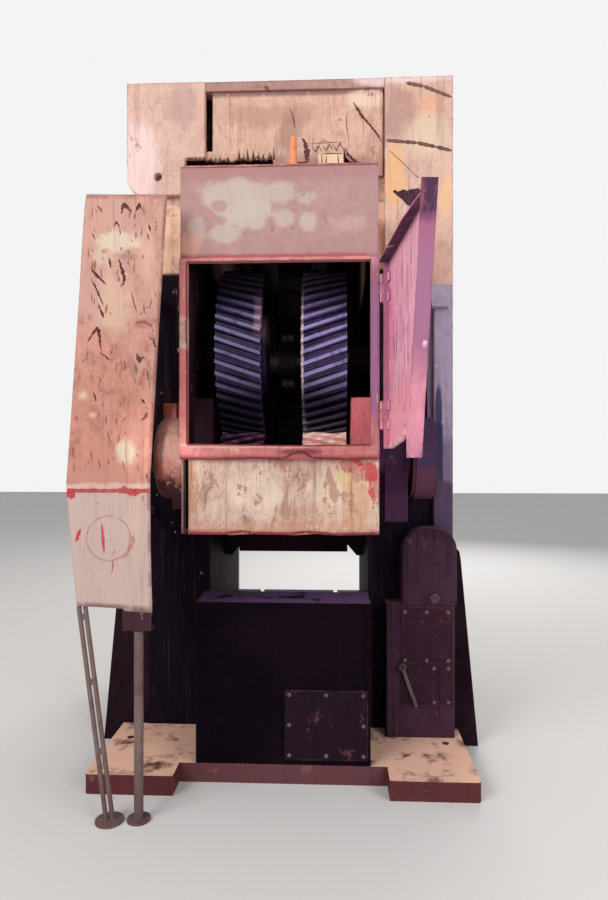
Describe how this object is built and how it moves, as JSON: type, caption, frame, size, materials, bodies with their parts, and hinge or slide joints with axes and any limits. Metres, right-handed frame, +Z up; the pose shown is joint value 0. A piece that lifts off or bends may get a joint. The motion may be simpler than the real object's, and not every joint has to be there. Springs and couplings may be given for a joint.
{
  "type": "knuckle-joint cold extrusion press",
  "caption": "Tall boxed knuckle-joint press with opposite-hand helical gears behind an open window, a slide over a die table, and an open inspection door.",
  "frame": {"origin": "on the floor, at the centre of the foundation bolt pattern", "axes": "+X to the viewer's right, +Y away from the gear case side, +Z up"},
  "size_m": [2.05, 2.8299, 3.685],
  "materials": {
    "cream_paint": "chalky",
    "base_paint": "worn",
    "header_paint": "flaking",
    "frame_red": "rusty",
    "apron_paint": "flaking",
    "gear_steel": "oiled",
    "shaft_steel": "oiled",
    "link_steel": "oiled",
    "bearing_iron": "rusty",
    "block_red": "rusty",
    "drum_iron": "rusty",
    "slide_paint": "worn",
    "guard_paint": "flaking",
    "pipe_steel": "rusty",
    "door_paint": "flaking",
    "duct_paint": "worn",
    "cabinet_paint": "worn",
    "panel_paint": "worn",
    "orange_paint": "worn",
    "fastener_steel": "dull"
  },
  "bodies": {
    "frame": {"base_plate": "base_paint", "foot_plates": "base_paint", "uprights": "cream_paint", "crown_beam": "cream_paint", "crown_top_plate": "cream_paint", "left_cheek_plate": "cream_paint", "right_cheek_plate": "cream_paint", "crown_front_panel": "cream_paint", "tie_rods": "shaft_steel", "tie_rod_nuts": "fastener_steel", "foot_gussets": "cream_paint", "rear_covers": "cream_paint", "cover_screws": "fastener_steel", "bed": "base_paint", "front_housing": "base_paint", "cover_panels": "panel_paint", "ejector_cylinder": "link_steel", "case_walls": "header_paint", "case_header": "header_paint", "window_frame": "frame_red", "apron_panel": "apron_paint", "oil_pipe": "orange_paint", "main_bearings": "bearing_iron", "pinion_block_right": "block_red", "pinion_block_left": "bearing_iron", "left_bearing_housing": "bearing_iron", "housing_screws": "fastener_steel", "right_bearing_bracket": "drum_iron", "brake_band": "fastener_steel", "crown_pin": "shaft_steel", "crown_bracket": "link_steel", "slide_gibs": "link_steel", "hinge_brackets": "frame_red", "hinge_pins": "fastener_steel", "sheet_guard": "guard_paint", "guard_stand": "pipe_steel", "cable_duct": "duct_paint", "junction_box": "duct_paint", "lubricator_cabinet": "cabinet_paint", "pump_cover": "cabinet_paint", "valve_knob": "fastener_steel"},
    "crank": {"bull_gear_left": "gear_steel", "bull_gear_right": "gear_steel", "crank_pins": "shaft_steel", "stub_shafts": "shaft_steel"},
    "pinions": {"pinion_shaft": "shaft_steel", "pinion_left": "gear_steel", "pinion_right": "gear_steel", "brake_drum": "drum_iron"},
    "upper_toggle": {"upper_link": "link_steel", "knee_pin": "shaft_steel"},
    "lower_toggle": {"lower_link": "link_steel"},
    "ram": {"slide": "slide_paint", "slide_pin": "shaft_steel"},
    "rod": {"connecting_rod": "link_steel", "rod_cap": "link_steel", "rod_bolts": "fastener_steel"},
    "ejector": {"ejector_rod": "shaft_steel"},
    "door": {"inspection_door": "door_paint"},
    "lever": {"pump_lever": "fastener_steel"}
  },
  "joints": [
    {"name": "crank_turn", "type": "hinge", "parent": "frame", "child": "crank", "pos_m": [0, -0.63, 2.08], "axis": [1, 0, 0], "continuous": true},
    {"name": "pinion_turn", "type": "hinge", "parent": "frame", "child": "pinions", "pos_m": [0, -0.82881, 1.56], "axis": [1, 0, 0], "continuous": true},
    {"name": "upper_link_swing", "type": "hinge", "parent": "frame", "child": "upper_toggle", "pos_m": [0, 0.18, 2.66], "axis": [-1, 0, 0], "range_deg": [0, 23.36]},
    {"name": "lower_link_swing", "type": "hinge", "parent": "upper_toggle", "child": "lower_toggle", "pos_m": [0, 0.18, 2.08], "axis": [-1, 0, 0], "range_deg": [-46.72, 0]},
    {"name": "slide_hang", "type": "hinge", "parent": "lower_toggle", "child": "ram", "pos_m": [0, 0.18, 1.5], "axis": [-1, 0, 0], "range_deg": [0, 23.36]},
    {"name": "rod_swing", "type": "hinge", "parent": "upper_toggle", "child": "rod", "pos_m": [0, 0.18, 2.08], "axis": [-1, 0, 0], "range_deg": [-27.28, 0]},
    {"name": "ejector_lift", "type": "slide", "parent": "frame", "child": "ejector", "axis": [0, 0, 1], "range_m": [0, 0.09]},
    {"name": "door_swing", "type": "hinge", "parent": "frame", "child": "door", "pos_m": [0.455, -1.215, 0], "axis": [0, 0, 1], "range_deg": [-94, 70]},
    {"name": "pump_lever_swing", "type": "hinge", "parent": "frame", "child": "lever", "pos_m": [0.604, -0.62, 0.468], "axis": [0, -1, 0], "range_deg": [-30, 60]}
  ],
  "couplings": [
    {"joint": "pinion_turn", "follows": "crank_turn", "ratio": -3.7143},
    {"joint": "lower_link_swing", "follows": "upper_link_swing", "ratio": -2},
    {"joint": "slide_hang", "follows": "upper_link_swing", "ratio": 1},
    {"joint": "rod_swing", "follows": "upper_link_swing", "ratio": -1.1678}
  ]
}
